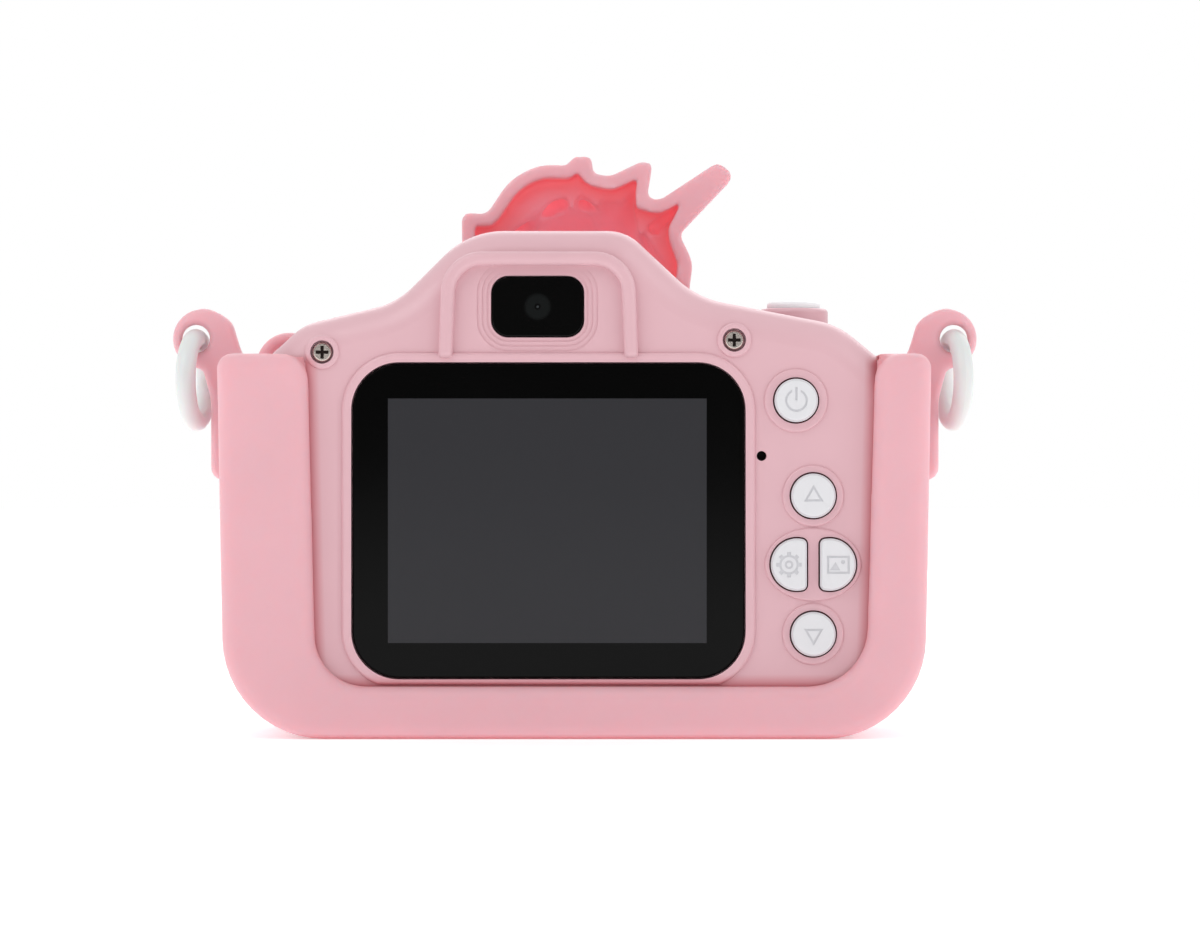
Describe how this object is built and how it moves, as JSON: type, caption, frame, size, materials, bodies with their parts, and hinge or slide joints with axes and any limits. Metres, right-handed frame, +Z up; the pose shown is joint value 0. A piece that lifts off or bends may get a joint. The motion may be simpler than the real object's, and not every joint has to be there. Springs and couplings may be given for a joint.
{
  "type": "kids digital camera",
  "caption": "Toy digital camera: pink plastic body with rear screen, buttons and shutter in a silicone sleeve with a hollow unicorn head and strap rings.",
  "frame": {"origin": "middle of the base that the camera stands on", "axes": "+X right as the screen is looked at, +Y from the screen towards the lens, +Z up"},
  "size_m": [0.1056, 0.044, 0.0767],
  "materials": {
    "silicone": "soft satin silicone",
    "shell_plastic": "satin moulded ABS",
    "button_plastic": "satin white ABS",
    "ring_plastic": "slightly clear white plastic",
    "window_acrylic": "gloss black-bordered acrylic",
    "clear_plastic": "clear",
    "black_plastic": "satin black",
    "trim_plastic": "gloss white trim",
    "foam": "black foam tape",
    "lcd_glass": "dark display glass",
    "white_film": "white diffuser",
    "tinned_steel": "tinned sheet",
    "screw_steel": "nickel plated steel",
    "flex_film": "amber polyimide film",
    "circuit_board": "green solder mask",
    "chip_epoxy": "black epoxy",
    "battery_foil": "silver pouch",
    "lead_jacket": "soft PVC jacket"
  },
  "bodies": {
    "camera": {"silicone_sleeve": "silicone", "rear_shell": "shell_plastic", "front_shell": "shell_plastic", "shutter_collar": "shell_plastic", "screen_window": "window_acrylic", "selfie_window": "window_acrylic", "window_gasket": "foam", "battery_pad": "foam", "lcd_panel": "lcd_glass", "lcd_backlight": "white_film", "lcd_frame": "tinned_steel", "lcd_flex": "flex_film", "selfie_flex": "flex_film", "selfie_camera": "black_plastic", "selfie_lens": "clear_plastic", "lens_glass": "clear_plastic", "front_lens_cover": "clear_plastic", "front_lens_ring": "trim_plastic", "lens_barrel": "black_plastic", "sensor_board": "circuit_board", "flash_led": "trim_plastic", "key_switches": "tinned_steel", "shutter_switch": "tinned_steel", "shutter_board": "circuit_board", "main_board": "circuit_board", "board_chips": "chip_epoxy", "battery_cell": "battery_foil", "battery_leads": "lead_jacket", "battery_plug": "trim_plastic", "usb_socket": "tinned_steel", "card_socket": "tinned_steel", "speaker": "black_plastic", "speaker_leads": "lead_jacket", "microphone": "tinned_steel", "shell_screws": "screw_steel", "board_screws": "screw_steel"},
    "power_button": {"power_button": "button_plastic", "power_switch_stem": "black_plastic"},
    "up_button": {"up_button": "button_plastic", "up_switch_stem": "black_plastic"},
    "down_button": {"down_button": "button_plastic", "down_switch_stem": "black_plastic"},
    "settings_button": {"settings_button": "button_plastic", "settings_switch_stem": "black_plastic"},
    "gallery_button": {"gallery_button": "button_plastic", "gallery_switch_stem": "black_plastic"},
    "shutter_button": {"shutter_button": "button_plastic", "shutter_switch_stem": "black_plastic"},
    "strap_ring_left": {"strap_ring_left": "ring_plastic"},
    "strap_ring_right": {"strap_ring_right": "ring_plastic"},
    "memory_card": {"memory_card": "black_plastic"}
  },
  "joints": [
    {"name": "power_press", "type": "slide", "parent": "camera", "child": "power_button", "axis": [0, 1, 0], "range_m": [0, 0.0005], "stiffness_N_per_m": 900},
    {"name": "up_press", "type": "slide", "parent": "camera", "child": "up_button", "axis": [0, 1, 0], "range_m": [0, 0.0005], "stiffness_N_per_m": 900},
    {"name": "down_press", "type": "slide", "parent": "camera", "child": "down_button", "axis": [0, 1, 0], "range_m": [0, 0.0005], "stiffness_N_per_m": 900},
    {"name": "settings_press", "type": "slide", "parent": "camera", "child": "settings_button", "axis": [0, 1, 0], "range_m": [0, 0.0005], "stiffness_N_per_m": 900},
    {"name": "gallery_press", "type": "slide", "parent": "camera", "child": "gallery_button", "axis": [0, 1, 0], "range_m": [0, 0.0005], "stiffness_N_per_m": 900},
    {"name": "shutter_press", "type": "slide", "parent": "camera", "child": "shutter_button", "axis": [0, 0, -1], "range_m": [0, 0.0006], "stiffness_N_per_m": 900},
    {"name": "ring_left_swing", "type": "hinge", "parent": "camera", "child": "strap_ring_left", "pos_m": [-0.0497, -0.00665, 0.0516], "axis": [0, 1, 0], "range_deg": [-2, 170]},
    {"name": "ring_right_swing", "type": "hinge", "parent": "camera", "child": "strap_ring_right", "pos_m": [0.0497, -0.00665, 0.0516], "axis": [0, -1, 0], "range_deg": [-2, 170]},
    {"name": "card_eject", "type": "slide", "parent": "camera", "child": "memory_card", "axis": [0, 0, -1], "range_m": [0, 0.002]}
  ]
}
